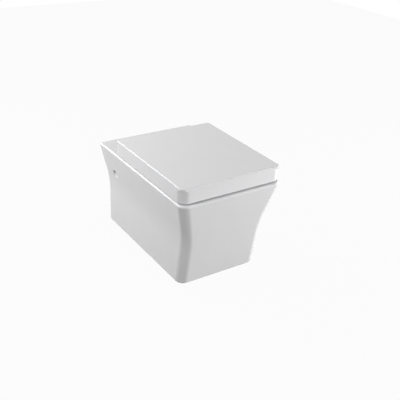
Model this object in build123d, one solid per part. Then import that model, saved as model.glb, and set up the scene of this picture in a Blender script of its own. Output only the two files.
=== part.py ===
"""Wall hung toilet: glazed ceramic body, wrap-over lid, seat ring, hinges and concealed wall fixing.

Frame: +Z up, the wall is the plane Y = 0 and the front looks towards -Y.
The origin is the middle of the two wall bolts on the wall plane. Lengths are in millimetres.
"""
import os
from math import ceil, cos, radians, sin

from build123d import *

# Glazed outline of the ceramic body
RIM_WIDTH = 390.0
RIM_LENGTH = 562.0
BODY_HEIGHT = 328.0
RIM_ABOVE_BOLTS = 100.0
BEND_BELOW_RIM = 146.0
SIDE_FLARE_ANGLE = 15.0
SIDE_LOWER_ANGLE = 0.4
FRONT_UPPER_ANGLE = 12.3
FRONT_LOWER_ANGLE = 8.5
SIDE_BEND_RADIUS = 370.0
FRONT_BEND_RADIUS = 2000.0
CORNER_RADIUS = 30.0
RIM_EDGE_RADIUS = 6.0
UNDERSIDE_EDGE_RADIUS = 8.0
CERAMIC_WALL = 11.0

# Bowl opening, flushing rim and basin
OPENING_WIDTH = 265.0
OPENING_REAR = 178.0
FRONT_RIM_BAND = 48.0
OPENING_FRONT = RIM_LENGTH - FRONT_RIM_BAND
OPENING_REAR_RADIUS = 72.0
OPENING_FRONT_RADIUS = 112.0
OPENING_EDGE_RADIUS = 7.0
RIM_DEPTH = 50.0
RIM_LIP = 9.0
CHANNEL_WIDTH = 16.0
CHANNEL_TOP = 14.0
CHANNEL_HEIGHT = 22.0
BASIN_UNDERCUT = 18.0
BASIN_WALL = 10.0
FLUSH_HOLE_RADIUS = 3.5
FLUSH_HOLE_PITCH = 62.0

# Water seal, trapway and outlet
OUTLET_BELOW_BOLTS = 100.0
OUTLET_OUTER_RADIUS = 51.0
OUTLET_INNER_RADIUS = 42.0
OUTLET_SPIGOT_LENGTH = 56.0
OUTLET_SETBACK = 4.0
OUTLET_CONE_FROM_WALL = 100.0
TRAP_RADIUS = 27.0
TRAP_WALL = 10.0
TRAP_BEND_RADIUS = 42.0
SEAL_DEPTH = 50.0
SUMP_FLOOR = 12.0
SUMP_REAR = 232.0
SUMP_FRONT = 334.0
SUMP_WIDTH = 88.0
SUMP_CORNER_RADIUS = 34.0
SUMP_FLOOR_RADIUS = 24.0
SUMP_TAPER = 10.0
WATER_WIDTH = 128.0
WATER_REAR = 222.0
WATER_FRONT = 374.0
# Basin outlines from the rim down to the water: share of the height, share of the narrowing, corner radii
BASIN_SHAPE = ((1.0, 0.0, 84.0, 124.0),
               (0.67, 0.21, 78.0, 112.0),
               (0.33, 0.6, 62.0, 92.0),
               (0.0, 1.0, 46.0, 60.0))
CROWN_FROM_WALL = 140.0

# Flush inlet
INLET_ABOVE_BOLTS = 35.0
INLET_RADIUS = 27.5
INLET_SOCKET_LENGTH = 46.0
INLET_WALL = 9.0
INLET_THROAT_RADIUS = 20.0
INLET_END_RADIUS = 10.0

# Concealed wall fixing
BOLT_SPACING = 180.0
STUD_HOLE_RADIUS = 6.5
BRACKET_SIZE = 34.0
BRACKET_LENGTH = 86.0
BRACKET_CLEARANCE = 0.3
BRACKET_EDGE_RADIUS = 3.0
CHAMBER_WALL = 9.0
SIDE_HOLE_FROM_WALL = 68.0
SIDE_HOLE_RADIUS = 12.0
SIDE_HOLE_EDGE_RADIUS = 4.0
SIDE_CAP_THICKNESS = 3.0
SIDE_CAP_RECESS = 5.0
SIDE_BUSH_LENGTH = 16.0
GRUB_SCREW_RADIUS = 5.0
GRUB_SOCKET_ACROSS = 5.0
GRUB_SOCKET_DEPTH = 6.0
GRUB_TIP_LENGTH = 4.0
GRUB_TIP_RADIUS = 1.0
GRUB_TIP_SINK = 3.0
GRUB_HEAD_RECESS = 2.0
GRUB_PASSAGE_CLEARANCE = 2.0

# Lid
LID_WIDTH = 380.0
LID_REAR = 122.0
LID_FRONT_SETBACK = 13.0
LID_FRONT = RIM_LENGTH - LID_FRONT_SETBACK
LID_GAP = 3.8
LID_TOP = 55.5
LID_SKIRT = 5.0
LID_PANEL = 6.0
LID_CORNER_RADIUS = 28.0
LID_TOP_CORNER_RADIUS = 16.0
LID_TOP_PLATE = 8.5
LID_REAR_CORNER_RADIUS = 10.0
LID_EDGE_RADIUS = 4.0
LID_HEEL_RADIUS = 8.0
LID_NOTCH_HALF_WIDTH = 120.0
LID_NOTCH_LIP = 11.0

# Seat ring
SEAT_SIDE_GAP = 3.0
SEAT_REAR = 152.0
SEAT_THICKNESS = 24.0
SEAT_UNDERSIDE = 10.0
SEAT_SKIN = 6.0
SEAT_POCKET_DEPTH = 15.0
SEAT_CORNER_RADIUS = 20.0
SEAT_REAR_CORNER_RADIUS = 12.0
SEAT_OPENING_WIDTH = 236.0
SEAT_OPENING_REAR = 222.0
SEAT_FRONT_BAND = 55.0
SEAT_OPENING_FRONT = LID_FRONT - SEAT_FRONT_BAND
SEAT_OPENING_REAR_RADIUS = 80.0
SEAT_OPENING_FRONT_RADIUS = 98.0
SEAT_OUTER_EDGE_RADIUS = 3.0
SEAT_INNER_EDGE_RADIUS = 9.0
SEAT_RIB = 5.0

# Buffers
BUFFER_RADIUS = 9.0
BUFFER_STEM_RADIUS = 3.0
BUFFER_STEM_LENGTH = 4.0
BUFFER_CLEARANCE = 0.3
SEAT_BUFFER_REAR = 236.0
SEAT_BUFFER_SETBACK = 97.0
SEAT_BUFFER_FRONT = LID_FRONT - SEAT_BUFFER_SETBACK
LID_BUFFER_REAR = 220.0
LID_BUFFER_SETBACK = 79.0
LID_BUFFER_FRONT = LID_FRONT - LID_BUFFER_SETBACK

# Hinges
HINGE_SPACING = 155.0
HINGE_FROM_WALL = 134.0
HINGE_ABOVE_RIM = 18.0
DECK_HOLE_RADIUS = 7.0
GASKET_RADIUS = 21.5
GASKET_THICKNESS = 1.0
BASE_PLATE_RADIUS = 21.0
BASE_PLATE_THICKNESS = 4.0
SPIGOT_RADIUS = 7.0
SPIGOT_HEIGHT = 4.0
SCREW_RADIUS = 3.0
SCREW_HEAD_RADIUS = 5.0
SCREW_HEAD_HEIGHT = 3.0
SCREW_SOCKET_DEPTH = 1.0
SCREW_SOCKET_RADIUS = 2.4
SCREW_LENGTH = 44.0
SLEEVE_LENGTH = 27.0
SLEEVE_BULGE = 2.0
NUT_LENGTH = 8.0
BLOCK_WIDTH = 26.0
BLOCK_RADIUS = 11.0
LUG_WIDTH = 22.0
LUG_GAP = 0.5
SHAFT_RADIUS = 4.0
SHAFT_GRIP = 12.0
SHAFT_REACH = 18.0
SHAFT_FLAT = 0.8
SHAFT_CHAMFER = 0.5
BLOCK_CHAMFER = 1.0
BARREL_RADIUS = 8.0
BARREL_END = 2.0
LOCK_SCREW_RADIUS = 1.5

# Clearances
FIT_CLEARANCE = 0.1
RUNNING_CLEARANCE = 0.05

RIM_Z = RIM_ABOVE_BOLTS
UNDERSIDE_Z = RIM_Z - BODY_HEIGHT
SUMP_FLOOR_Z = UNDERSIDE_Z + SUMP_FLOOR
OUTLET_Z = -OUTLET_BELOW_BOLTS
INLET_Z = INLET_ABOVE_BOLTS
CHANNEL_Z = RIM_Z - CHANNEL_TOP - CHANNEL_HEIGHT / 2
THROAT_END = OPENING_REAR - RIM_LIP - CHANNEL_WIDTH / 2
HINGE_XS = (-HINGE_SPACING / 2, HINGE_SPACING / 2)
HINGE_Y = -HINGE_FROM_WALL
HINGE_Z = RIM_Z + HINGE_ABOVE_RIM
LID_PANEL_Z = RIM_Z + LID_TOP - LID_PANEL
SEAT_Z = RIM_Z + SEAT_UNDERSIDE
SEAT_TOP_Z = SEAT_Z + SEAT_THICKNESS
BASE_TOP_Z = RIM_Z + GASKET_THICKNESS + BASE_PLATE_THICKNESS
SEAT_WIDTH = LID_WIDTH - 2 * LID_SKIRT - 2 * SEAT_SIDE_GAP
SEAT_FRONT = LID_FRONT - LID_SKIRT - SEAT_SIDE_GAP
SEAT_BUFFER_HEIGHT = SEAT_UNDERSIDE - BUFFER_CLEARANCE
LID_BUFFER_HEIGHT = LID_PANEL_Z - SEAT_TOP_Z - BUFFER_CLEARANCE
LOCK_SCREW_Z = BASE_TOP_Z + SPIGOT_HEIGHT / 2
GRUB_TIP_X = BOLT_SPACING / 2 + BRACKET_SIZE / 2 - GRUB_TIP_SINK
OVERRUN = 30.0
TOUCH = 1e-3


def slope(angle, depth):
    """Sideways distance that a face leaning by angle covers over a depth."""
    return depth * sin(radians(angle)) / cos(radians(angle))


def side_skin(z):
    """Half width of the glazed outline at a height above the bend."""
    return RIM_WIDTH / 2 - slope(SIDE_FLARE_ANGLE, RIM_Z - z)


SIDE_BUSH_FACE = side_skin(0) - SIDE_CAP_RECESS - SIDE_CAP_THICKNESS
BUFFER_X = (SEAT_WIDTH + SEAT_OPENING_WIDTH) / 4
SEAT_BUFFER_POINTS = [(x, y) for x in (-BUFFER_X, BUFFER_X) for y in (-SEAT_BUFFER_REAR, -SEAT_BUFFER_FRONT)]
LID_BUFFER_POINTS = [(x, y) for x in (-BUFFER_X, BUFFER_X) for y in (-LID_BUFFER_REAR, -LID_BUFFER_FRONT)]


def box_between(low, high):
    """Axis-aligned block from its low corner to its high corner."""
    size = [h - l for l, h in zip(low, high)]
    middle = [(l + h) / 2 for l, h in zip(low, high)]
    return Pos(*middle) * Box(*size)


def rod(start, end, radius):
    """Cylinder from one point to another."""
    axis = Vector(*end) - Vector(*start)
    return extrude(Plane(origin=start, z_dir=axis) * Circle(radius), axis.length)


def slab(outline, bottom, height):
    """Outline drawn on XY, raised to a slab whose underside is at bottom."""
    return extrude(Pos(0, 0, bottom) * outline, height)


def rounded_plan(width, rear, front, rear_radius, front_radius):
    """Rounded plan outline between two distances from the wall."""
    plan = make_face(Polyline((-width / 2, -rear), (width / 2, -rear), (width / 2, -front),
                              (-width / 2, -front), close=True))
    rear_corners = plan.vertices().group_by(Axis.Y)[-1]
    plan = fillet(rear_corners, rear_radius)
    front_corners = [v for v in plan.vertices() if abs(v.Y + front) < TOUCH]
    return fillet(front_corners, front_radius)


def body_block(inset):
    """The ceramic outline as a solid, moved inwards by inset; it runs past the wall plane."""
    half = RIM_WIDTH / 2
    lower = BODY_HEIGHT - BEND_BELOW_RIM
    bend_z = RIM_Z - BEND_BELOW_RIM
    side_bend = half - slope(SIDE_FLARE_ANGLE, BEND_BELOW_RIM)
    side_foot = side_bend - slope(SIDE_LOWER_ANGLE, lower)
    across = make_face(Polyline((-half, RIM_Z), (half, RIM_Z), (side_bend, bend_z), (side_foot, UNDERSIDE_Z),
                                (-side_foot, UNDERSIDE_Z), (-side_bend, bend_z), close=True))
    bends = [v for v in across.vertices() if abs(v.Y - bend_z) < TOUCH]
    across = fillet(bends, SIDE_BEND_RADIUS)
    front_bend = RIM_LENGTH - slope(FRONT_UPPER_ANGLE, BEND_BELOW_RIM)
    front_foot = front_bend - slope(FRONT_LOWER_ANGLE, lower)
    along = make_face(Polyline((2 * OVERRUN, RIM_Z), (-RIM_LENGTH, RIM_Z), (-front_bend, bend_z),
                               (-front_foot, UNDERSIDE_Z), (2 * OVERRUN, UNDERSIDE_Z), close=True))
    bends = [v for v in along.vertices() if abs(v.Y - bend_z) < TOUCH]
    along = fillet(bends, FRONT_BEND_RADIUS)
    if inset:
        across = offset(across, -inset, kind=Kind.INTERSECTION)
        along = offset(along, -inset, kind=Kind.INTERSECTION)
    sideways = extrude(Plane.XZ * across, RIM_LENGTH + OVERRUN)
    sideways += extrude(Plane.XZ * across, -OVERRUN)
    lengthways = extrude(Plane.YZ * along, RIM_WIDTH / 2 + OVERRUN, both=True)
    block = sideways & lengthways
    front = [e for e in block.edges() if e.center().Y < -RIM_LENGTH / 2 and e.bounding_box().size.Z > 1]
    corners = [e for e in front if abs(e.center().X) > half / 2 and e.bounding_box().size.Y < RIM_LENGTH / 2]
    return fillet(corners, CORNER_RADIUS - inset)


def bowl_opening(grow):
    """Plan outline of the opening in the rim, grown outwards all round."""
    return rounded_plan(OPENING_WIDTH + 2 * grow, OPENING_REAR - grow, OPENING_FRONT + grow,
                        OPENING_REAR_RADIUS + grow, OPENING_FRONT_RADIUS + grow)


def basin(grow):
    """The funnel from the flushing rim down to the sump, grown outwards by grow."""
    top_z = RIM_Z - RIM_DEPTH
    dip_z = SUMP_FLOOR_Z + 2 * TRAP_RADIUS
    seal_z = dip_z + SEAL_DEPTH
    top_width = OPENING_WIDTH + 2 * BASIN_UNDERCUT
    top_rear = OPENING_REAR - BASIN_UNDERCUT
    top_front = OPENING_FRONT + BASIN_UNDERCUT
    outlines = []
    for height, narrowing, rear_radius, front_radius in BASIN_SHAPE:
        z = seal_z + height * (top_z - seal_z)
        width = top_width + narrowing * (WATER_WIDTH - top_width)
        rear = top_rear + narrowing ** 2 * (WATER_REAR - top_rear)
        front = top_front + narrowing * (WATER_FRONT - top_front)
        outlines.append((z, width, rear, front, rear_radius, front_radius))
    outlines.append((dip_z, SUMP_WIDTH, SUMP_REAR, SUMP_FRONT, SUMP_CORNER_RADIUS, SUMP_CORNER_RADIUS))
    outlines.append((SUMP_FLOOR_Z, 2 * TRAP_RADIUS, SUMP_REAR + SUMP_TAPER, SUMP_FRONT - 2 * SUMP_TAPER,
                     SUMP_FLOOR_RADIUS, SUMP_FLOOR_RADIUS))
    return loft([
        Pos(0, 0, z) * rounded_plan(width + 2 * grow, rear - grow, front + grow, r1 + grow, r2 + grow)
        for z, width, rear, front, r1, r2 in outlines])


def trap_passage(radius, outlet_radius):
    """Tube of the trapway: back from the sump, up over the crown and down into the outlet."""
    leg_z = SUMP_FLOOR_Z + TRAP_RADIUS
    crown_z = leg_z + 2 * TRAP_RADIUS + SEAL_DEPTH
    points = [(0, -(SUMP_REAR + SUMP_FRONT) / 2, leg_z), (0, -SUMP_REAR + TRAP_RADIUS, leg_z),
              (0, -CROWN_FROM_WALL, crown_z), (0, -OUTLET_CONE_FROM_WALL, crown_z)]
    centre_line = FilletPolyline(*points, radius=TRAP_BEND_RADIUS)
    tube = sweep(Plane(origin=centre_line @ 0, z_dir=centre_line % 0) * Circle(radius), path=centre_line)
    cone = loft([Plane(origin=(0, -OUTLET_CONE_FROM_WALL, crown_z), z_dir=(0, 1, 0)) * Circle(radius),
                 Plane(origin=(0, -OUTLET_SPIGOT_LENGTH, OUTLET_Z), z_dir=(0, 1, 0)) * Circle(outlet_radius)])
    spigot = rod((0, -OUTLET_SPIGOT_LENGTH, OUTLET_Z), (0, -OUTLET_SETBACK, OUTLET_Z), outlet_radius)
    return tube + cone + spigot


def inlet_passage(grow):
    """Flush inlet socket and the tapered throat that rises to the rim channel."""
    socket = rod((0, -INLET_SOCKET_LENGTH - grow, INLET_Z), (0, 0, INLET_Z), INLET_RADIUS + grow)
    start = Plane(origin=(0, -INLET_SOCKET_LENGTH, INLET_Z), z_dir=(0, -1, 0))
    end = Plane(origin=(0, -THROAT_END, CHANNEL_Z), z_dir=(0, -1, 0))
    return socket + loft([start * Circle(INLET_THROAT_RADIUS + grow), end * Circle(INLET_END_RADIUS + grow)])


def both_sides(solid):
    """A right-hand solid and its mirror image on the left."""
    return solid + mirror(solid, Plane.YZ)


def fixing_chamber():
    """Right-hand ceramic box that drops over its wall bracket, with its ribs to deck and skirt."""
    half = BRACKET_SIZE / 2 + BRACKET_CLEARANCE + CHAMBER_WALL
    x = BOLT_SPACING / 2
    rear = -BRACKET_LENGTH - CHAMBER_WALL
    tube = box_between((x - half, rear, -half), (x + half, 0, half))
    rib = box_between((x - CHAMBER_WALL / 2, rear, 0), (x + CHAMBER_WALL / 2, 0, RIM_Z - CERAMIC_WALL / 2))
    web = box_between((x, rear, -half), (RIM_WIDTH / 2, 0, -half + CHAMBER_WALL))
    return tube + rib + web


def fixing_space():
    """Right-hand space for the bracket and for the grub screw that reaches it from the side."""
    half = BRACKET_SIZE / 2 + BRACKET_CLEARANCE
    x = BOLT_SPACING / 2
    bay = box_between((x - half, -RIM_LENGTH / 4, -half), (x + half, OVERRUN, half))
    far = x + half + 2 * CHAMBER_WALL
    passage_radius = GRUB_SCREW_RADIUS + GRUB_PASSAGE_CLEARANCE
    return bay + rod((x, -SIDE_HOLE_FROM_WALL, 0), (far, -SIDE_HOLE_FROM_WALL, 0), passage_radius)


def outline_points(outline, pitch):
    """Points at an even pitch round an outline, symmetric about X = 0."""
    wire = outline.wire()
    rear = max(wire.edges(), key=lambda e: e.center().Y)
    start = wire.param_at_point(rear.center())
    count = 2 * ceil(wire.length / pitch / 2)
    return [wire.position_at((start + (i + 0.5) / count) % 1.0) for i in range(count)]


def glazed_outline():
    """The whole outer form, cut off at the wall, with its rounded rim and underside edges."""
    room = box_between((-RIM_WIDTH, -2 * RIM_LENGTH, UNDERSIDE_Z - 1), (RIM_WIDTH, 0, RIM_Z + 1))
    outer = body_block(0.0) & room
    for level, radius in ((RIM_Z, RIM_EDGE_RADIUS), (UNDERSIDE_Z, UNDERSIDE_EDGE_RADIUS)):
        edges = [e for e in outer.edges() if abs(e.center().Z - level) < TOUCH and e.center().Y < -TOUCH]
        outer = fillet(edges, radius)
    return outer


def skirt(outer):
    """Outer wall, deck and underside, hollow and open at the wall, with the two side access holes."""
    hole = rod((0, -SIDE_HOLE_FROM_WALL, 0), (RIM_WIDTH, -SIDE_HOLE_FROM_WALL, 0), SIDE_HOLE_RADIUS)
    shell = outer - body_block(CERAMIC_WALL) - both_sides(hole)
    near = [e for e in shell.edges() if abs(e.center().Y + SIDE_HOLE_FROM_WALL) < SIDE_HOLE_RADIUS
            and abs(e.center().Z) < SIDE_HOLE_RADIUS and e.length > SIDE_HOLE_RADIUS]
    mouths = [e for e in near if abs(e.center().X) > side_skin(0) - CERAMIC_WALL / 2]
    return fillet(mouths, SIDE_HOLE_EDGE_RADIUS)


def bowl_structure():
    """Everything inside the skirt before its passages are cut: rim, basin, trapway, inlet and fixings."""
    rim_rear = OPENING_REAR - RIM_LIP - CHANNEL_WIDTH - RIM_LIP
    rim_room = box_between((-RIM_WIDTH, -RIM_LENGTH, RIM_Z - RIM_DEPTH), (RIM_WIDTH, -rim_rear, RIM_Z))
    rim = slab(bowl_opening(2 * RIM_LIP + 2 * CHANNEL_WIDTH), RIM_Z - RIM_DEPTH, RIM_DEPTH) & rim_room
    inside = rim + basin(BASIN_WALL) + trap_passage(TRAP_RADIUS + TRAP_WALL, OUTLET_OUTER_RADIUS)
    return inside + inlet_passage(INLET_WALL) + both_sides(fixing_chamber())


def ceramic_bowl():
    """Rim, deck, skirt, basin, trapway and inlet in one fired piece, open at the wall."""
    outer = glazed_outline()
    body = skirt(outer) + (bowl_structure() & outer)
    body -= basin(0.0) + slab(bowl_opening(0.0), RIM_Z - RIM_DEPTH - 1, RIM_DEPTH + 2)
    body -= trap_passage(TRAP_RADIUS, OUTLET_INNER_RADIUS)
    channel = bowl_opening(RIM_LIP + CHANNEL_WIDTH) - bowl_opening(RIM_LIP)
    body -= slab(channel, CHANNEL_Z - CHANNEL_HEIGHT / 2, CHANNEL_HEIGHT)
    body -= inlet_passage(0.0)
    for point in outline_points(bowl_opening(RIM_LIP + FLUSH_HOLE_RADIUS + 1), FLUSH_HOLE_PITCH):
        place = (point.X, point.Y)
        body -= rod((*place, CHANNEL_Z), (*place, RIM_Z - RIM_DEPTH - 1), FLUSH_HOLE_RADIUS)
    body -= both_sides(fixing_space())
    for x in HINGE_XS:
        body -= rod((x, HINGE_Y, RIM_Z - 2 * CERAMIC_WALL), (x, HINGE_Y, RIM_Z + 1), DECK_HOLE_RADIUS)
    level = [e for e in body.edges() if abs(e.center().Z - RIM_Z) < TOUCH and e.bounding_box().size.Z < TOUCH]
    mouth = [e for e in level if abs(e.center().X) < OPENING_WIDTH / 2 + 1
             and -OPENING_FRONT - 1 < e.center().Y < -OPENING_REAR + 1]
    return fillet(mouth, OPENING_EDGE_RADIUS)


def lid_shell():
    """Wrap-over lid: top plate squarer at the front corners than its skirt, open rear, two pivot lugs."""
    plan = rounded_plan(LID_WIDTH, LID_REAR, LID_FRONT, LID_REAR_CORNER_RADIUS, LID_CORNER_RADIUS)
    top_plan = rounded_plan(LID_WIDTH, LID_REAR, LID_FRONT, LID_REAR_CORNER_RADIUS, LID_TOP_CORNER_RADIUS)
    plate = slab(top_plan, RIM_Z + LID_TOP - LID_TOP_PLATE, LID_TOP_PLATE)
    plate = fillet(plate.faces().sort_by(Axis.Z)[-1].edges(), LID_EDGE_RADIUS)
    lid = slab(plan, RIM_Z + LID_GAP, LID_TOP - LID_TOP_PLATE - LID_GAP) + plate
    inner = rounded_plan(LID_WIDTH - 2 * LID_SKIRT, LID_REAR + LID_SKIRT, LID_FRONT - LID_SKIRT,
                         LID_REAR_CORNER_RADIUS - LID_SKIRT, LID_CORNER_RADIUS - LID_SKIRT)
    hollow = slab(inner, RIM_Z, LID_PANEL_Z - RIM_Z)
    hollow = fillet(hollow.faces().sort_by(Axis.Z)[-1].edges(), LID_EDGE_RADIUS)
    lid -= hollow
    lid -= box_between((-LID_NOTCH_HALF_WIDTH, -LID_REAR - LID_SKIRT - 1, RIM_Z),
                       (LID_NOTCH_HALF_WIDTH, 0, RIM_Z + LID_TOP - LID_NOTCH_LIP))
    lid -= heel_cut()
    for side in (-1, 1):
        lid += lid_lug(side)
    for point in LID_BUFFER_POINTS:
        lid -= stem_hole(point, LID_PANEL_Z)
    return lid


def stem_hole(point, base_z):
    """Blind hole for the stem of a buffer, upwards from base_z."""
    radius = BUFFER_STEM_RADIUS + FIT_CLEARANCE
    return rod((*point, base_z - 1), (*point, base_z + BUFFER_STEM_LENGTH), radius)


def heel_cut():
    """Material outside the rounded lower rear corners, which swing close to the deck."""
    y = -LID_REAR - LID_HEEL_RADIUS
    z = RIM_Z + LID_GAP + LID_HEEL_RADIUS
    square = box_between((-LID_WIDTH, y, RIM_Z), (LID_WIDTH, 0, z))
    return square - rod((-LID_WIDTH - 1, y, z), (LID_WIDTH + 1, y, z), LID_HEEL_RADIUS)


def lug_centre(side, inboard):
    """Middle of a lug beside the hinge block: inboard for the seat ring, outboard for the lid."""
    step = BLOCK_WIDTH / 2 + LUG_GAP + LUG_WIDTH / 2
    return side * (HINGE_SPACING / 2 + (-step if inboard else step))


def knuckle(low, high, root_z):
    """Round-ended bar across the hinge axis between two X values, running up or down to root_z."""
    away = -BLOCK_RADIUS if root_z > HINGE_Z else BLOCK_RADIUS
    front, rear = HINGE_Y - BLOCK_RADIUS, HINGE_Y + BLOCK_RADIUS
    profile = make_face([Polyline((front, HINGE_Z), (front, root_z), (rear, root_z), (rear, HINGE_Z)),
                         ThreePointArc((front, HINGE_Z), (HINGE_Y, HINGE_Z + away), (rear, HINGE_Z))])
    return extrude(Plane(origin=(low, 0, 0), x_dir=(0, 1, 0), z_dir=(1, 0, 0)) * profile, high - low)


def hinge_bore(low, high, radius):
    """Cylinder along the hinge axis between two X values, run a little past both."""
    return rod((low - 1, HINGE_Y, HINGE_Z), (high + 1, HINGE_Y, HINGE_Z), radius)


def lid_lug(side):
    """Knuckle of the lid, hung from the panel and bored for the barrel or the bush."""
    x = lug_centre(side, False)
    low, high = x - LUG_WIDTH / 2, x + LUG_WIDTH / 2
    return knuckle(low, high, LID_PANEL_Z + 1) - hinge_bore(low, high, BARREL_RADIUS + FIT_CLEARANCE)


def seat_plan(grow):
    """Outer outline of the seat ring, inside the lid's skirt."""
    return rounded_plan(SEAT_WIDTH + 2 * grow, SEAT_REAR - grow, SEAT_FRONT + grow,
                        SEAT_REAR_CORNER_RADIUS + grow, SEAT_CORNER_RADIUS + grow)


def seat_opening(grow):
    """Opening of the seat ring, grown outwards by grow."""
    return rounded_plan(SEAT_OPENING_WIDTH + 2 * grow, SEAT_OPENING_REAR - grow, SEAT_OPENING_FRONT + grow,
                        SEAT_OPENING_REAR_RADIUS + grow, SEAT_OPENING_FRONT_RADIUS + grow)


def seat_ring():
    """Moulded seat: rounded top, hollow ribbed underside and a knuckle beside each hinge block."""
    ring = slab(seat_plan(0.0) - seat_opening(0.0), SEAT_Z, SEAT_THICKNESS)
    top = ring.faces().sort_by(Axis.Z)[-1]
    ring = fillet(top.outer_wire().edges(), SEAT_OUTER_EDGE_RADIUS)
    top = ring.faces().sort_by(Axis.Z)[-1]
    ring = fillet(top.inner_wires()[0].edges(), SEAT_INNER_EDGE_RADIUS)
    pocket = slab(seat_plan(-SEAT_SKIN) - seat_opening(SEAT_SKIN), SEAT_Z - 1, SEAT_POCKET_DEPTH + 1)
    for x, y in SEAT_BUFFER_POINTS:
        pocket -= rod((x, y, SEAT_Z - 1), (x, y, SEAT_TOP_Z), BUFFER_RADIUS + SEAT_RIB / 2)
        pocket -= box_between((-SEAT_WIDTH, y - SEAT_RIB / 2, SEAT_Z - 1),
                              (SEAT_WIDTH, y + SEAT_RIB / 2, SEAT_TOP_Z))
    ring -= pocket
    for side in (-1, 1):
        ring += seat_lug(side)
    for point in SEAT_BUFFER_POINTS:
        ring -= stem_hole(point, SEAT_Z)
    return ring


def seat_lug(side):
    """Knuckle of the seat ring on its arm, bored for the barrel or the bush."""
    x = lug_centre(side, True)
    low, high = x - LUG_WIDTH / 2, x + LUG_WIDTH / 2
    front, low_z, top_z = -SEAT_REAR - SEAT_SKIN / 2, SEAT_Z, HINGE_Z + BLOCK_RADIUS
    arm = box_between((low, front, low_z), (high, HINGE_Y, top_z))
    arm += rod((low, HINGE_Y, HINGE_Z), (high, HINGE_Y, HINGE_Z), BLOCK_RADIUS)
    return arm - hinge_bore(low, high, BARREL_RADIUS + FIT_CLEARANCE)


def buffer(point, base_z, height):
    """Soft stud: a domed foot below base_z and a stem pressed up into its hole."""
    profile = make_face(
        Polyline((0, 0), (BUFFER_RADIUS, 0), (BUFFER_RADIUS, -height), (0, -height), close=True))
    feet = [v for v in profile.vertices() if abs(v.Y + height) < TOUCH and v.X > TOUCH]
    profile = fillet(feet, min(BUFFER_RADIUS, height) / 3)
    foot = revolve(Plane.XZ * profile, Axis.Z)
    stem = Pos(0, 0, (BUFFER_STEM_LENGTH - 1) / 2) * Cylinder(BUFFER_STEM_RADIUS, BUFFER_STEM_LENGTH - 1)
    return Pos(*point, base_z) * (foot + stem)


def hinge_block(x):
    """Block on the base plate's spigot, bored across for the two shafts."""
    low, high = x - BLOCK_WIDTH / 2, x + BLOCK_WIDTH / 2
    block = knuckle(low, high, BASE_TOP_Z)
    block = chamfer(block.faces().filter_by(Axis.X).edges(), BLOCK_CHAMFER)
    block -= hinge_bore(low, high, SHAFT_RADIUS + RUNNING_CLEARANCE)
    block -= rod((x, HINGE_Y, BASE_TOP_Z - 1), (x, HINGE_Y, BASE_TOP_Z + SPIGOT_HEIGHT + FIT_CLEARANCE),
                 SPIGOT_RADIUS + FIT_CLEARANCE)
    return block - rod((x, HINGE_Y, LOCK_SCREW_Z), (x, HINGE_Y + 2 * BLOCK_RADIUS, LOCK_SCREW_Z),
                       LOCK_SCREW_RADIUS + FIT_CLEARANCE)


def hinge_gasket(x):
    """Soft ring between the base plate and the glaze."""
    ring = Circle(GASKET_RADIUS) - Circle(SCREW_RADIUS + FIT_CLEARANCE)
    return Pos(x, HINGE_Y, RIM_Z) * extrude(ring, GASKET_THICKNESS)


def base_plate(x):
    """Round foot of the hinge, with the spigot that locates the block and a sunk seat for the screw."""
    plate = Pos(0, 0, BASE_PLATE_THICKNESS / 2) * Cylinder(BASE_PLATE_RADIUS, BASE_PLATE_THICKNESS)
    plate = fillet(plate.edges().group_by(Axis.Z)[-1], BASE_PLATE_THICKNESS / 3)
    top = BASE_PLATE_THICKNESS + SPIGOT_HEIGHT
    plate += Pos(0, 0, top / 2) * Cylinder(SPIGOT_RADIUS, top)
    plate -= Pos(0, 0, top / 2) * Cylinder(SCREW_RADIUS + FIT_CLEARANCE, top + 2)
    counterbore = Cylinder(SCREW_HEAD_RADIUS + FIT_CLEARANCE, SCREW_HEAD_HEIGHT)
    plate -= Pos(0, 0, top - SCREW_HEAD_HEIGHT / 2) * counterbore
    return Pos(x, HINGE_Y, RIM_Z + GASKET_THICKNESS) * plate


def hinge_screw(x):
    """Socket screw from the spigot down through the deck."""
    head = Pos(0, 0, -SCREW_HEAD_HEIGHT / 2) * Cylinder(SCREW_HEAD_RADIUS, SCREW_HEAD_HEIGHT)
    socket = RegularPolygon(SCREW_SOCKET_RADIUS, 6)
    head -= Pos(0, 0, -SCREW_SOCKET_DEPTH) * extrude(socket, SCREW_HEAD_HEIGHT)
    shank = Pos(0, 0, -SCREW_HEAD_HEIGHT - SCREW_LENGTH / 2) * Cylinder(SCREW_RADIUS, SCREW_LENGTH)
    return Pos(x, HINGE_Y, BASE_TOP_Z + SPIGOT_HEIGHT) * (head + shank)


def expansion_sleeve(x):
    """Rubber sleeve in the deck hole, bulged below the deck where the screw has squeezed it."""
    outer = DECK_HOLE_RADIUS - FIT_CLEARANCE
    bore = SCREW_RADIUS + FIT_CLEARANCE
    bulge_top = -CERAMIC_WALL - FIT_CLEARANCE
    middle = (outer + SLEEVE_BULGE, (bulge_top - SLEEVE_LENGTH) / 2)
    edge = [Line((outer, 0), (outer, bulge_top)),
            ThreePointArc((outer, bulge_top), middle, (outer, -SLEEVE_LENGTH)),
            Polyline((outer, -SLEEVE_LENGTH), (bore, -SLEEVE_LENGTH), (bore, 0), (outer, 0))]
    return Pos(x, HINGE_Y, RIM_Z) * revolve(Plane.XZ * make_face(edge), Axis.Z)


def expansion_nut(x):
    """Hexagon nut with a cone that the screw draws up into the sleeve."""
    nut = extrude(RegularPolygon(DECK_HOLE_RADIUS - FIT_CLEARANCE, 6), -NUT_LENGTH)
    nut -= Pos(0, 0, -NUT_LENGTH / 2) * Cylinder(SCREW_RADIUS + RUNNING_CLEARANCE, NUT_LENGTH + 2)
    return Pos(x, HINGE_Y, RIM_Z - SLEEVE_LENGTH - FIT_CLEARANCE) * nut


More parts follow.
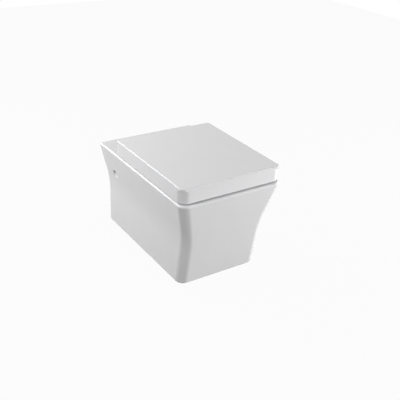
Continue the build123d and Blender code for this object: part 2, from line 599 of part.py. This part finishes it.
def lock_screw(x):
    """Grub screw from the wall side of the block against the spigot."""
    start = HINGE_Y + SPIGOT_RADIUS + FIT_CLEARANCE
    end = HINGE_Y + BLOCK_RADIUS - FIT_CLEARANCE
    return rod((x, start, LOCK_SCREW_Z), (x, end, LOCK_SCREW_Z), LOCK_SCREW_RADIUS)


def shaft(side, inboard, keyed):
    """Hinge shaft from inside the block out into its lug, with two flats where it turns a damper."""
    direction = -side if inboard else side
    face = side * HINGE_SPACING / 2 + direction * BLOCK_WIDTH / 2
    start = (face - direction * SHAFT_GRIP, HINGE_Y, HINGE_Z)
    end = (face + direction * SHAFT_REACH, HINGE_Y, HINGE_Z)
    pin = rod(start, end, SHAFT_RADIUS)
    pin = chamfer(pin.edges().filter_by(GeomType.CIRCLE), SHAFT_CHAMFER)
    if keyed:
        reach = SHAFT_RADIUS - SHAFT_FLAT
        low, high = sorted((face - direction * SHAFT_GRIP, face - direction))
        for bottom, top in ((reach, SHAFT_RADIUS), (-SHAFT_RADIUS, -reach)):
            pin -= box_between((low - 1, HINGE_Y - SHAFT_RADIUS, HINGE_Z + bottom),
                               (high, HINGE_Y + SHAFT_RADIUS, HINGE_Z + top))
    return pin


def barrel(side, inboard, chamfered):
    """Damper barrel or plain bush in a lug, closed at its far end and bored for the shaft."""
    direction = -side if inboard else side
    near = lug_centre(side, inboard) - direction * LUG_WIDTH / 2
    far = near + direction * LUG_WIDTH
    body = rod((near, HINGE_Y, HINGE_Z), (far, HINGE_Y, HINGE_Z), BARREL_RADIUS)
    if chamfered:
        body = chamfer(body.edges().filter_by(GeomType.CIRCLE), SHAFT_CHAMFER)
    depth = LUG_WIDTH - BARREL_END
    return body - rod((near - direction, HINGE_Y, HINGE_Z), (near + direction * depth, HINGE_Y, HINGE_Z),
                      SHAFT_RADIUS + RUNNING_CLEARANCE)


def fixing_bracket():
    """Right-hand block on the wall stud, with a cone for the tip of the side grub screw."""
    half = BRACKET_SIZE / 2
    x = BOLT_SPACING / 2
    block = box_between((x - half, -BRACKET_LENGTH, -half), (x + half, 0, half))
    block = fillet(block.edges().filter_by(Axis.Y), BRACKET_EDGE_RADIUS)
    block -= rod((x, OVERRUN, 0), (x, -BRACKET_LENGTH - 1, 0), STUD_HOLE_RADIUS)
    gap = 2 * FIT_CLEARANCE
    dimple = Cone(GRUB_TIP_RADIUS + gap, GRUB_SCREW_RADIUS + gap, GRUB_TIP_LENGTH + FIT_CLEARANCE,
                  align=(Align.CENTER, Align.CENTER, Align.MIN))
    place = Plane(origin=(GRUB_TIP_X - FIT_CLEARANCE, -SIDE_HOLE_FROM_WALL, 0), z_dir=(1, 0, 0))
    return block - place * dimple


def side_grub_screw():
    """Right-hand screw from the side bush to the bracket, with a hexagon socket and a cone tip."""
    head = SIDE_BUSH_FACE - GRUB_HEAD_RECESS
    shoulder = GRUB_TIP_X + GRUB_TIP_LENGTH
    outline = [(GRUB_TIP_X, 0), (GRUB_TIP_X, GRUB_TIP_RADIUS), (shoulder, GRUB_SCREW_RADIUS),
               (head, GRUB_SCREW_RADIUS), (head, 0)]
    screw = Pos(0, -SIDE_HOLE_FROM_WALL, 0) * revolve(make_face(Polyline(*outline, close=True)), Axis.X)
    mouth = Plane(origin=(head, -SIDE_HOLE_FROM_WALL, 0), z_dir=(-1, 0, 0))
    return screw - extrude(mouth * RegularPolygon(GRUB_SOCKET_ACROSS / 2, 6), GRUB_SOCKET_DEPTH)


def side_bush():
    """Right-hand bush that carries the grub screw in the ceramic wall."""
    y = -SIDE_HOLE_FROM_WALL
    end = SIDE_BUSH_FACE - SIDE_BUSH_LENGTH
    bush = rod((SIDE_BUSH_FACE, y, 0), (end, y, 0), SIDE_HOLE_RADIUS - FIT_CLEARANCE)
    return bush - rod((SIDE_BUSH_FACE + 1, y, 0), (end - 1, y, 0), GRUB_SCREW_RADIUS + RUNNING_CLEARANCE)


def side_cap():
    """Right-hand cap over the access hole, dished like a shallow button."""
    outer = SIDE_HOLE_RADIUS - FIT_CLEARANCE
    face = SIDE_BUSH_FACE + SIDE_CAP_THICKNESS
    cap = rod((SIDE_BUSH_FACE, -SIDE_HOLE_FROM_WALL, 0), (face, -SIDE_HOLE_FROM_WALL, 0), outer)
    rim = [e for e in cap.edges().filter_by(GeomType.CIRCLE) if abs(e.center().X - face) < 1e-3]
    return fillet(rim, SIDE_CAP_THICKNESS / 3)


def pair(maker):
    """The two copies of a piece, one at each hinge hole."""
    return Compound(children=[maker(x) for x in HINGE_XS])


def mirrored(solid):
    """The right-hand piece and its left-hand twin as two separate solids."""
    return Compound(children=[solid, mirror(solid, Plane.YZ)])


PARTS = {
    "ceramic_bowl": ceramic_bowl(),
    "fixing_brackets": mirrored(fixing_bracket()),
    "side_grub_screws": mirrored(side_grub_screw()),
    "side_bushes": mirrored(side_bush()),
    "side_caps": mirrored(side_cap()),
    "hinge_gaskets": pair(hinge_gasket),
    "hinge_base_plates": pair(base_plate),
    "hinge_screws": pair(hinge_screw),
    "expansion_sleeves": pair(expansion_sleeve),
    "expansion_nuts": pair(expansion_nut),
    "hinge_block_left": hinge_block(HINGE_XS[0]),
    "hinge_block_right": hinge_block(HINGE_XS[1]),
    "hinge_lock_screws": pair(lock_screw),
    "lid_damper_shaft": shaft(-1, False, True),
    "lid_hinge_pin": shaft(1, False, False),
    "seat_damper_shaft": shaft(1, True, True),
    "seat_hinge_pin": shaft(-1, True, False),
    "lid_shell": lid_shell(),
    "lid_damper_barrel": barrel(-1, False, True),
    "lid_hinge_bush": barrel(1, False, False),
    "lid_buffers": Compound(children=[buffer(p, LID_PANEL_Z, LID_BUFFER_HEIGHT) for p in LID_BUFFER_POINTS]),
    "seat_ring": seat_ring(),
    "seat_damper_barrel": barrel(1, True, True),
    "seat_hinge_bush": barrel(-1, True, False),
    "seat_buffers": Compound(children=[buffer(p, SEAT_Z, SEAT_BUFFER_HEIGHT) for p in SEAT_BUFFER_POINTS]),
}

os.makedirs("parts", exist_ok=True)
for name, solid in PARTS.items():
    export_step(solid, f"parts/{name}.step")
    print(name, round(solid.volume / 1000.0, 1), "cm3")
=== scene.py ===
"""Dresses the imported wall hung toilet: glaze, plastic, metal, soft buffers, light and camera."""

import logging
from dataclasses import dataclass
from enum import Enum
from math import cos, pi, radians, sin, tan

import bmesh
import bpy
import numpy as np
from mathutils import Matrix, Vector

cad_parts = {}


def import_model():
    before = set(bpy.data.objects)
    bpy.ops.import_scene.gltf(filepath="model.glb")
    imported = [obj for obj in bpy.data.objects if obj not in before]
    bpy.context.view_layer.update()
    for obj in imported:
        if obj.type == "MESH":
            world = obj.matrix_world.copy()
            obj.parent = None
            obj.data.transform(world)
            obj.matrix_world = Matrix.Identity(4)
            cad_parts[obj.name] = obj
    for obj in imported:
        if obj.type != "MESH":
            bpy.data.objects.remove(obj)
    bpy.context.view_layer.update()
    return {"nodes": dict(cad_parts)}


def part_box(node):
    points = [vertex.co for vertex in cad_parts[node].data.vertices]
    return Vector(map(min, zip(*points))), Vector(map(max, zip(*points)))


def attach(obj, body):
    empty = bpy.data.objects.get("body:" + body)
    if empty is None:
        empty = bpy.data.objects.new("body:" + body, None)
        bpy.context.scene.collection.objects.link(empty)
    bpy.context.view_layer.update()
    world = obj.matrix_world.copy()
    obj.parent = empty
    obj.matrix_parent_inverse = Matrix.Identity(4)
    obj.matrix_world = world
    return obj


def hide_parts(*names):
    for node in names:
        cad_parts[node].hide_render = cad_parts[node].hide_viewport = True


LOG = logging.getLogger("toilet")

NOISE_LOW, NOISE_HIGH = 0.3, 0.7
NOISE_DETAIL = 3.0
REFRACTIVE_INDEX = 1.5
SUBSURFACE_SCALE = 0.002
ROUGHNESS_SPREAD = 0.2
WEAR_TO_MOTTLE = 2.7
WHITE = (1.0, 1.0, 1.0, 1.0)

# Sockets of the mix node, which has one set for each kind of value.
MIX_FACTOR, MIX_FLOAT_A, MIX_FLOAT_B, MIX_COLOUR_A, MIX_COLOUR_B = 0, 2, 3, 6, 7
MIX_FLOAT_OUT, MIX_COLOUR_OUT = 0, 2

# A foot's profile, as shares of its radius and of its height below the flange.
FLANGE_AND_NECK = np.array([[0.0, 0.0], [0.94, 0.0], [1.0, 0.04], [1.0, 0.14], [0.94, 0.18],
                            [0.86, 0.20], [0.86, 0.30], [0.94, 0.38], [0.96, 0.5]])
EDGE_RADIUS, EDGE_LEVEL, EDGE_ROUND = 0.82, 0.78, 0.14
CROWN_RADIUS, CROWN_LEVEL, CROWN_RISE = 0.78, 0.92, 0.08
EDGE_STEPS, CROWN_STEPS = 9, 6

MERGE_DISTANCE = 1e-6
SHARP_ANGLE = radians(40.0)

NodeTree = bpy.types.NodeTree
Socket = bpy.types.NodeSocket


class Kind(Enum):
    """The families of surface on this object."""

    GLAZE = "glaze"
    PLASTIC = "plastic"
    SOFT = "soft"
    METAL = "metal"


@dataclass(frozen=True)
class Finish:
    """One surface finish, worked out from Object coordinates in metres."""

    name: str
    kind: Kind
    tone: tuple
    roughness: float
    ripple_size: float = 0.01
    ripple_height: float = 0.0
    mottle: float = 0.01
    mottle_size: float = 0.05
    brush: tuple = (1.0, 1.0, 1.0)
    subsurface: float = 0.0

    def make(self) -> bpy.types.Material:
        """Builds the node material: a mottled base colour, a wandering roughness and a fine ripple.

        Returns:
            The finished material.
        """
        material = bpy.data.materials.new(self.name)
        material.use_nodes = True
        tree = material.node_tree
        shader = tree.nodes["Principled BSDF"]
        shader.inputs["Metallic"].default_value = 1.0 if self.kind is Kind.METAL else 0.0
        shader.inputs["IOR"].default_value = REFRACTIVE_INDEX
        shader.inputs["Subsurface Weight"].default_value = self.subsurface
        shader.inputs["Subsurface Scale"].default_value = SUBSURFACE_SCALE
        place = self.mapping(tree)
        self.colour(tree, place, shader.inputs["Base Color"])
        self.sheen(tree, place, shader.inputs["Roughness"])
        if self.ripple_height > 0.0:
            self.ripple(tree, place, shader)
        return material

    def colour(self, tree: NodeTree, place: Socket, target: Socket) -> None:
        """Mottles the tone by a soft noise.

        Args:
            tree: the material's nodes.
            place: Object coordinates.
            target: the shader socket to feed.
        """
        cloud = self.noise(tree, place, 1.0 / self.mottle_size)
        self.ramp(tree, cloud, target, [self.shade(1.0 - self.mottle), self.shade(1.0 + self.mottle)])

    def sheen(self, tree: NodeTree, place: Socket, target: Socket) -> None:
        """Lets the roughness wander by a fifth either way.

        Args:
            tree: the material's nodes.
            place: Object coordinates.
            target: the shader socket to feed.
        """
        worn = self.noise(tree, place, WEAR_TO_MOTTLE / self.mottle_size)
        self.span(tree, worn, target, (1.0 - ROUGHNESS_SPREAD) * self.roughness,
                  (1.0 + ROUGHNESS_SPREAD) * self.roughness)

    def ripple(self, tree: NodeTree, place: Socket, shader: bpy.types.Node) -> None:
        """Raises the fine ripple or grain of the surface as a bump.

        Args:
            tree: the material's nodes.
            place: Object coordinates.
            shader: the shader whose normal is rippled.
        """
        grain = self.noise(tree, place, 1.0 / self.ripple_size)
        bump = tree.nodes.new("ShaderNodeBump")
        bump.inputs["Distance"].default_value = self.ripple_height
        tree.links.new(grain, bump.inputs["Height"])
        tree.links.new(bump.outputs["Normal"], shader.inputs["Normal"])

    def shade(self, factor: float) -> tuple:
        """The tone times a factor.

        Args:
            factor: one for the plain tone.

        Returns:
            An opaque RGBA colour.
        """
        return tuple(min(1.0, factor * value) for value in self.tone) + (1.0,)

    def mapping(self, tree: NodeTree) -> Socket:
        """Object coordinates, stretched along the brushing direction.

        Args:
            tree: the material's nodes.

        Returns:
            The socket with the coordinates.
        """
        source = tree.nodes.new("ShaderNodeTexCoord")
        mapping = tree.nodes.new("ShaderNodeMapping")
        mapping.inputs["Scale"].default_value = self.brush
        tree.links.new(source.outputs["Object"], mapping.inputs["Vector"])
        return mapping.outputs["Vector"]

    @staticmethod
    def noise(tree: NodeTree, place: Socket, scale: float) -> Socket:
        """Soft fractal noise.

        Args:
            tree: the material's nodes.
            place: the coordinates to read.
            scale: cells per metre.

        Returns:
            The socket with the noise value.
        """
        node = tree.nodes.new("ShaderNodeTexNoise")
        node.inputs["Scale"].default_value = scale
        node.inputs["Detail"].default_value = NOISE_DETAIL
        tree.links.new(place, node.inputs["Vector"])
        return node.outputs["Fac"]

    @staticmethod
    def ramp(tree: NodeTree, source: Socket, target: Socket, colours: list) -> None:
        """Carries a value through a colour ramp that spreads the middle of the noise.

        Args:
            tree: the material's nodes.
            source: the socket with the noise value.
            target: the colour socket to feed.
            colours: the colours at the low and the high end.
        """
        node = tree.nodes.new("ShaderNodeValToRGB")
        low, high = node.color_ramp.elements
        low.position, high.position = NOISE_LOW, NOISE_HIGH
        low.color, high.color = colours
        tree.links.new(source, node.inputs["Fac"])
        tree.links.new(node.outputs["Color"], target)

    @staticmethod
    def span(tree: NodeTree, source: Socket, target: Socket, low: float, high: float) -> None:
        """Spreads a noise value between two limits.

        Args:
            tree: the material's nodes.
            source: the socket with the noise value.
            target: the socket to feed.
            low: the value at the low end of the noise.
            high: the value at the high end of the noise.
        """
        node = tree.nodes.new("ShaderNodeMapRange")
        node.inputs["From Min"].default_value = NOISE_LOW
        node.inputs["From Max"].default_value = NOISE_HIGH
        node.inputs["To Min"].default_value = low
        node.inputs["To Max"].default_value = high
        tree.links.new(source, node.inputs["Value"])
        tree.links.new(node.outputs["Result"], target)


@dataclass(frozen=True)
class Glaze(Finish):
    """Vitreous glaze over the whole body except its wall side, where the fired clay stays bare.

    The bare zone is everything under the outer skin and near the wall. The skin's half width is the
    larger of a straight flare below the rim and the width at the bend.
    """

    clay: tuple = (0.60, 0.56, 0.50)
    clay_roughness: float = 0.72
    rim_half_width: float = 0.195
    rim_level: float = 0.100
    flare: float = 15.0
    bend_half_width: float = 0.1559
    underside_level: float = -0.228
    under_skin: float = 0.006
    bare_depth: float = 0.135
    fade: float = 0.030
    skin_fade: float = 0.001
    wall_face: tuple = (-0.0012, -0.0008)
    fleck_scale: float = 260.0
    fleck_dark: float = 0.93
    edge_scale: float = 28.0

    def colour(self, tree: NodeTree, place: Socket, target: Socket) -> None:
        """Mixes the mottled glaze with the bare clay by the bare zone's mask.

        Args:
            tree: the material's nodes.
            place: Object coordinates.
            target: the shader socket to feed.
        """
        mix = tree.nodes.new("ShaderNodeMix")
        mix.data_type = "RGBA"
        glaze, clay = mix.inputs[MIX_COLOUR_A], mix.inputs[MIX_COLOUR_B]
        super().colour(tree, place, glaze)
        fleck = self.noise(tree, place, self.fleck_scale)
        dark = tuple(self.fleck_dark * value for value in self.clay)
        self.ramp(tree, fleck, clay, [dark + (1.0,), self.clay + (1.0,)])
        tree.links.new(self.bare(tree, place), mix.inputs[MIX_FACTOR])
        tree.links.new(mix.outputs[MIX_COLOUR_OUT], target)

    def sheen(self, tree: NodeTree, place: Socket, target: Socket) -> None:
        """Gloss on the glaze and a dry matt on the bare clay.

        Args:
            tree: the material's nodes.
            place: Object coordinates.
            target: the shader socket to feed.
        """
        mix = tree.nodes.new("ShaderNodeMix")
        mix.data_type = "FLOAT"
        super().sheen(tree, place, mix.inputs[MIX_FLOAT_A])
        mix.inputs[MIX_FLOAT_B].default_value = self.clay_roughness
        tree.links.new(self.bare(tree, place), mix.inputs[MIX_FACTOR])
        tree.links.new(mix.outputs[MIX_FLOAT_OUT], target)

    def bare(self, tree: NodeTree, place: Socket) -> Socket:
        """Mask of the bare clay: one under the skin near the wall, fading into glaze further in.

        Args:
            tree: the material's nodes.
            place: Object coordinates.

        Returns:
            The socket with the mask.
        """
        split = tree.nodes.new("ShaderNodeSeparateXYZ")
        tree.links.new(place, split.inputs[0])
        x, y, z = split.outputs
        slope = tan(radians(self.flare))
        flare = self.math(tree, "MULTIPLY_ADD", z, slope, self.rim_half_width - slope * self.rim_level)
        half_width = self.math(tree, "MAXIMUM", flare, self.bend_half_width)
        inside = self.math(tree, "SUBTRACT", half_width, self.math(tree, "ABSOLUTE", x))
        side = self.step(tree, inside, self.under_skin - self.skin_fade, self.under_skin)
        high = self.rim_level - self.under_skin
        top = self.step(tree, z, high + self.skin_fade, high)
        low = self.underside_level + self.under_skin
        bottom = self.step(tree, z, low - self.skin_fade, low)
        wander = self.noise(tree, place, self.edge_scale)
        edge = self.math(tree, "MULTIPLY_ADD", wander, self.fade, y)
        depth = self.step(tree, edge, -self.bare_depth, -self.bare_depth + self.fade)
        wall = self.step(tree, y, *self.wall_face)
        zone = self.math(tree, "MULTIPLY", self.math(tree, "MULTIPLY", side, top),
                         self.math(tree, "MULTIPLY", bottom, depth))
        return self.math(tree, "MAXIMUM", zone, wall)

    @staticmethod
    def math(tree: NodeTree, operation: str, *values: "Socket | float") -> Socket:
        """One math node.

        Args:
            tree: the material's nodes.
            operation: the node's operation.
            values: sockets or plain numbers, in the node's order.

        Returns:
            The socket with the result.
        """
        node = tree.nodes.new("ShaderNodeMath")
        node.operation = operation
        for slot, value in zip(node.inputs, values):
            if isinstance(value, (int, float)):
                slot.default_value = value
            else:
                tree.links.new(value, slot)
        return node.outputs[0]

    @staticmethod
    def step(tree: NodeTree, value: Socket, start: float, end: float) -> Socket:
        """Nought before start and one after end, which may lie the other way round.

        Args:
            tree: the material's nodes.
            value: the socket to read.
            start: where the result is nought.
            end: where the result is one.

        Returns:
            The socket with the result.
        """
        node = tree.nodes.new("ShaderNodeMapRange")
        node.inputs["From Min"].default_value = start
        node.inputs["From Max"].default_value = end
        tree.links.new(value, node.inputs["Value"])
        return node.outputs["Result"]


GLAZE = Glaze("vitreous_glaze", Kind.GLAZE, (0.80, 0.80, 0.81), 0.07, 0.018, 0.00002, 0.008, 0.09)
SEAT_PLASTIC = Finish("urea_plastic", Kind.PLASTIC, (0.80, 0.80, 0.81), 0.16, 0.006, 0.00001, 0.006, 0.07)
CAP_PLASTIC = Finish("cap_plastic", Kind.PLASTIC, (0.76, 0.76, 0.77), 0.25, 0.004, 0.00001, 0.01, 0.02)
SOFT_BUFFER = Finish("soft_buffer", Kind.SOFT, (0.62, 0.62, 0.61), 0.5, 0.002, 0.00002, 0.03, 0.01,
                     subsurface=0.3)
CLEAR_SOFT = Finish("clear_soft_plastic", Kind.SOFT, (0.60, 0.61, 0.62), 0.35, 0.003, 0.00002, 0.03, 0.01)
RUBBER = Finish("black_rubber", Kind.SOFT, (0.03, 0.03, 0.03), 0.7, 0.002, 0.00004, 0.15, 0.01)
CHROME = Finish("chromed_metal", Kind.METAL, (0.72, 0.73, 0.75), 0.1, 0.02, 0.00001, 0.02, 0.03)
STAINLESS = Finish("stainless_steel", Kind.METAL, (0.56, 0.55, 0.54), 0.28, 0.004, 0.00001, 0.05, 0.006,
                   (1.0, 30.0, 30.0))
ZINC = Finish("zinc_steel", Kind.METAL, (0.50, 0.51, 0.53), 0.4, 0.004, 0.00003, 0.12, 0.008)
BRASS = Finish("brass", Kind.METAL, (0.75, 0.56, 0.27), 0.32, 0.004, 0.00001, 0.06, 0.006)
GREY_PLASTIC = Finish("grey_plastic", Kind.PLASTIC, (0.22, 0.22, 0.23), 0.45, 0.002, 0.00003, 0.05, 0.01)

NODE_FINISHES = {
    "ceramic_bowl": GLAZE, "fixing_brackets": ZINC, "side_grub_screws": STAINLESS,
    "side_bushes": GREY_PLASTIC, "side_caps": CAP_PLASTIC, "hinge_gaskets": CLEAR_SOFT,
    "hinge_base_plates": CHROME, "hinge_screws": STAINLESS, "expansion_sleeves": RUBBER,
    "expansion_nuts": BRASS, "hinge_block_left": CHROME, "hinge_block_right": CHROME,
    "hinge_lock_screws": STAINLESS, "lid_damper_shaft": STAINLESS, "lid_hinge_pin": STAINLESS,
    "seat_damper_shaft": STAINLESS, "seat_hinge_pin": STAINLESS, "lid_shell": SEAT_PLASTIC,
    "lid_damper_barrel": GREY_PLASTIC, "lid_hinge_bush": GREY_PLASTIC, "lid_buffers": SOFT_BUFFER,
    "seat_ring": SEAT_PLASTIC, "seat_damper_barrel": GREY_PLASTIC, "seat_hinge_bush": GREY_PLASTIC,
    "seat_buffers": SOFT_BUFFER,
}


@dataclass
class Camera:
    """The photograph's view: a long lens, above and to the left of the front."""

    lens: float = 59.685
    azimuth: float = -34.35
    elevation: float = 27.853
    roll: float = 3.015
    distance: float = 2.342
    target: tuple = (0.0336, -0.3033, -0.0432)
    shift: tuple = (0.0075, -0.0028)
    sensor: float = 36.0
    clip_start: float = 0.05

    def place(self) -> None:
        """Sets the scene's camera on its line of sight, then turns it by the roll."""
        back = bearing(self.azimuth, self.elevation)
        camera = bpy.data.objects.new("camera", bpy.data.cameras.new("camera"))
        camera.data.lens = self.lens
        camera.data.sensor_width = self.sensor
        camera.data.shift_x, camera.data.shift_y = self.shift
        camera.data.clip_start = self.clip_start
        roll = Matrix.Rotation(radians(self.roll), 4, "Z")
        camera.matrix_world = facing(self.target, back, self.distance) @ roll
        bpy.context.scene.collection.objects.link(camera)
        bpy.context.scene.camera = camera


@dataclass(frozen=True)
class Softbox:
    """A square area lamp, placed by its bearing from the object."""

    name: str
    azimuth: float
    elevation: float
    power: float
    distance: float = 2.4
    size: float = 1.2

    def place(self, target: tuple) -> None:
        """Aims the lamp at the target.

        Args:
            target: the point lit, in metres.
        """
        back = bearing(self.azimuth, self.elevation)
        lamp = bpy.data.objects.new(self.name, bpy.data.lights.new(self.name, "AREA"))
        lamp.data.shape = "SQUARE"
        lamp.data.size = self.size
        lamp.data.energy = self.power
        lamp.matrix_world = facing(target, back, self.distance)
        bpy.context.scene.collection.objects.link(lamp)


@dataclass
class Studio:
    """The floor, the lamps and the pale surround."""

    floor_level: float = -0.30
    floor_size: float = 8.0
    floor_tone: float = 0.25
    floor_glow: float = 0.96
    target: tuple = (0.0, -0.28, -0.05)
    floor_roughness: float = 0.9
    surround: float = 0.02
    lamps: tuple = (
        Softbox("lamp_back_left", -150.0, 32.0, 33.0),
        Softbox("lamp_left", -105.0, 35.0, 30.0),
        Softbox("lamp_right", 70.0, 10.0, 56.0),
        Softbox("lamp_front", 5.0, 20.0, 25.0),
    )

    def build(self) -> None:
        """Places the floor, the lamps and the world."""
        half = self.floor_size / 2
        side = np.array([-half, half])
        x, y = np.meshgrid(side, side, indexing="ij")
        floor = grid_piece("floor", x, y, np.full_like(x, self.floor_level))
        floor.data.materials.append(self.floor_material())
        for lamp in self.lamps:
            lamp.place(self.target)
        self.world()

    def floor_material(self) -> bpy.types.Material:
        """A pale matt floor, plain white to the camera but for a trace of the object's shadow.

        Returns:
            The floor's material.
        """
        material = bpy.data.materials.new("pale_floor")
        material.use_nodes = True
        tree = material.node_tree
        shader = tree.nodes["Principled BSDF"]
        shader.inputs["Base Color"].default_value = (self.floor_tone,) * 3 + (1.0,)
        shader.inputs["Roughness"].default_value = self.floor_roughness
        shader.inputs["Specular IOR Level"].default_value = 0.0
        glow = tree.nodes.new("ShaderNodeEmission")
        glow.inputs["Strength"].default_value = 1.0
        mix = tree.nodes.new("ShaderNodeMixShader")
        share = tree.nodes.new("ShaderNodeMath")
        share.operation = "MULTIPLY"
        share.inputs[1].default_value = self.floor_glow
        tree.links.new(self.seen(tree), share.inputs[0])
        tree.links.new(share.outputs[0], mix.inputs[0])
        tree.links.new(shader.outputs[0], mix.inputs[1])
        tree.links.new(glow.outputs[0], mix.inputs[2])
        tree.links.new(mix.outputs[0], tree.nodes["Material Output"].inputs["Surface"])
        return material

    @staticmethod
    def seen(tree: NodeTree) -> Socket:
        """Tells the rays that show the surround from those that light by it.

        Args:
            tree: the nodes to add to.

        Returns:
            A socket with one for a ray from the camera, a reflection or a clear part, nought elsewhere.
        """
        path = tree.nodes.new("ShaderNodeLightPath")
        shown = path.outputs["Is Camera Ray"]
        for ray in ("Is Glossy Ray", "Is Transmission Ray"):
            either = tree.nodes.new("ShaderNodeMath")
            either.operation = "MAXIMUM"
            tree.links.new(shown, either.inputs[0])
            tree.links.new(path.outputs[ray], either.inputs[1])
            shown = either.outputs[0]
        return shown

    def world(self) -> None:
        """White to the camera, and a soft even surround for everything else."""
        world = bpy.data.worlds.new("surround")
        world.use_nodes = True
        bpy.context.scene.world = world
        tree = world.node_tree
        base = tree.nodes["Background"]
        base.inputs["Strength"].default_value = self.surround
        base.inputs["Color"].default_value = WHITE
        white = tree.nodes.new("ShaderNodeBackground")
        white.inputs["Color"].default_value = WHITE
        mix = tree.nodes.new("ShaderNodeMixShader")
        tree.links.new(self.seen(tree), mix.inputs[0])
        tree.links.new(base.outputs[0], mix.inputs[1])
        tree.links.new(white.outputs[0], mix.inputs[2])
        tree.links.new(mix.outputs[0], tree.nodes["World Output"].inputs["Surface"])


def bearing(azimuth: float, elevation: float) -> Vector:
    """Unit vector from the object towards a bearing.

    Args:
        azimuth: degrees from the front, positive towards +X.
        elevation: degrees above the horizon.

    Returns:
        The unit vector.
    """
    a, e = radians(azimuth), radians(elevation)
    return Vector((sin(a) * cos(e), -cos(a) * cos(e), sin(e)))


def facing(target: tuple, back: Vector, distance: float) -> Matrix:
    """Where a camera or lamp stands, some way back from a target that it looks at.

    Args:
        target: the point looked at, in metres.
        back: unit vector from the target towards the camera or lamp.
        distance: how far back, in metres.

    Returns:
        The matrix for the world.
    """
    place = Matrix.Translation(Vector(target) + distance * back)
    return place @ back.to_track_quat("Z", "Y").to_matrix().to_4x4()


def grid_piece(name: str, x: np.ndarray, y: np.ndarray, z: np.ndarray,
               wrap: bool = False) -> bpy.types.Object:
    """Makes a mesh from a grid of points, one quad between each four neighbours.

    Args:
        name: the piece's name.
        x: first coordinates on the grid, rows along the first parameter.
        y: second coordinates on the same grid.
        z: third coordinates on the same grid.
        wrap: whether the second parameter closes on itself.

    Returns:
        The new object at the origin.
    """
    rows, columns = x.shape
    index = np.arange(rows * columns).reshape(rows, columns)
    after = np.roll(index, -1, axis=1)
    last = columns if wrap else columns - 1
    quads = np.stack([index[:-1, :last], after[:-1, :last], after[1:, :last], index[1:, :last]], axis=-1)
    mesh = bpy.data.meshes.new(name)
    points = np.stack([x, y, z], axis=-1).reshape(-1, 3)
    mesh.from_pydata(points.tolist(), [], quads.reshape(-1, 4).tolist())
    piece = bpy.data.objects.new(name, mesh)
    bpy.context.scene.collection.objects.link(piece)
    return piece


@dataclass
class BufferSet:
    """The four soft feet of the lid or the seat ring, each with a flange, a neck and a crown."""

    name: str
    node: str
    body: str
    recess: float = 0.004
    radius: float = 0.009
    sides: int = 48

    def profile(self, height: float) -> np.ndarray:
        """Half section of a foot, from its middle at the flange round to the middle of its crown.

        Args:
            height: from the flange to the top of the crown, in metres.

        Returns:
            Rows of radius and distance from the flange, in metres.
        """
        turn = np.linspace(0.0, 0.5 * pi, EDGE_STEPS)
        edge = np.stack([EDGE_RADIUS + EDGE_ROUND * np.cos(turn), EDGE_LEVEL + EDGE_ROUND * np.sin(turn)],
                        axis=1)
        dome = np.linspace(CROWN_RADIUS, 0.0, CROWN_STEPS)
        crown = np.stack([dome, CROWN_LEVEL + CROWN_RISE * (1.0 - (dome / CROWN_RADIUS) ** 2)], axis=1)
        return np.concatenate([FLANGE_AND_NECK, edge, crown]) * np.array([self.radius, height])

    def build(self, finish: bpy.types.Material) -> bpy.types.Object:
        """Turns the profile round each foot's own axis and joins the four feet in one piece.

        A point of the profile at radius r and distance d, turned by t, is centre + r (cos t, sin t)
        across and flange level - d upright.

        Args:
            finish: the soft material.

        Returns:
            The finished piece.
        """
        low, high = (np.array(corner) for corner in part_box(self.node))
        flange = high[2] - self.recess
        rows = self.profile(flange - low[2])
        turn = np.linspace(0.0, 2 * pi, self.sides, endpoint=False)
        parts = []
        for x in (low[0] + self.radius, high[0] - self.radius):
            for y in (low[1] + self.radius, high[1] - self.radius):
                parts.append((x + np.outer(rows[:, 0], np.cos(turn)),
                              y + np.outer(rows[:, 0], np.sin(turn)),
                              flange - np.outer(rows[:, 1], np.ones_like(turn))))
        feet = [grid_piece(f"{self.name}_{i}", *part, wrap=True) for i, part in enumerate(parts)]
        piece = joined(self.name, feet)
        piece.data.materials.append(finish)
        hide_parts(self.node)
        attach(piece, self.body)
        return piece


def joined(name: str, pieces: list) -> bpy.types.Object:
    """Joins pieces in one mesh, closes their poles and seams, turns the faces outwards and smooths them.

    Args:
        name: the joined piece's name.
        pieces: the objects to join.

    Returns:
        The joined object.
    """
    form = bmesh.new()
    for piece in pieces:
        form.from_mesh(piece.data)
        bpy.data.objects.remove(piece)
    bmesh.ops.remove_doubles(form, verts=form.verts, dist=MERGE_DISTANCE)
    bmesh.ops.dissolve_degenerate(form, edges=form.edges, dist=MERGE_DISTANCE)
    bmesh.ops.recalc_face_normals(form, faces=form.faces)
    for face in form.faces:
        face.smooth = True
    mesh = bpy.data.meshes.new(name)
    form.to_mesh(mesh)
    form.free()
    mesh.set_sharp_from_angle(angle=SHARP_ANGLE)
    whole = bpy.data.objects.new(name, mesh)
    bpy.context.scene.collection.objects.link(whole)
    return whole


def main() -> None:
    """Builds the studio and every piece."""
    logging.basicConfig(level=logging.INFO, format="%(message)s")
    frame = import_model()
    bpy.context.scene.view_settings.view_transform = "Standard"
    Camera().place()
    Studio().build()
    made = {}
    for node, finish in NODE_FINISHES.items():
        if finish.name not in made:
            made[finish.name] = finish.make()
        shape = frame["nodes"][node]
        shape.data.materials.clear()
        shape.data.materials.append(made[finish.name])
        LOG.info("dressed %s in %s", node, finish.name)
    soft = made[SOFT_BUFFER.name]
    for feet in (BufferSet("lid_feet", "lid_buffers", "lid"),
                 BufferSet("seat_feet", "seat_buffers", "seat")):
        feet.build(soft)
        LOG.info("turned %s", feet.name)


if __name__ == "__main__":
    main()
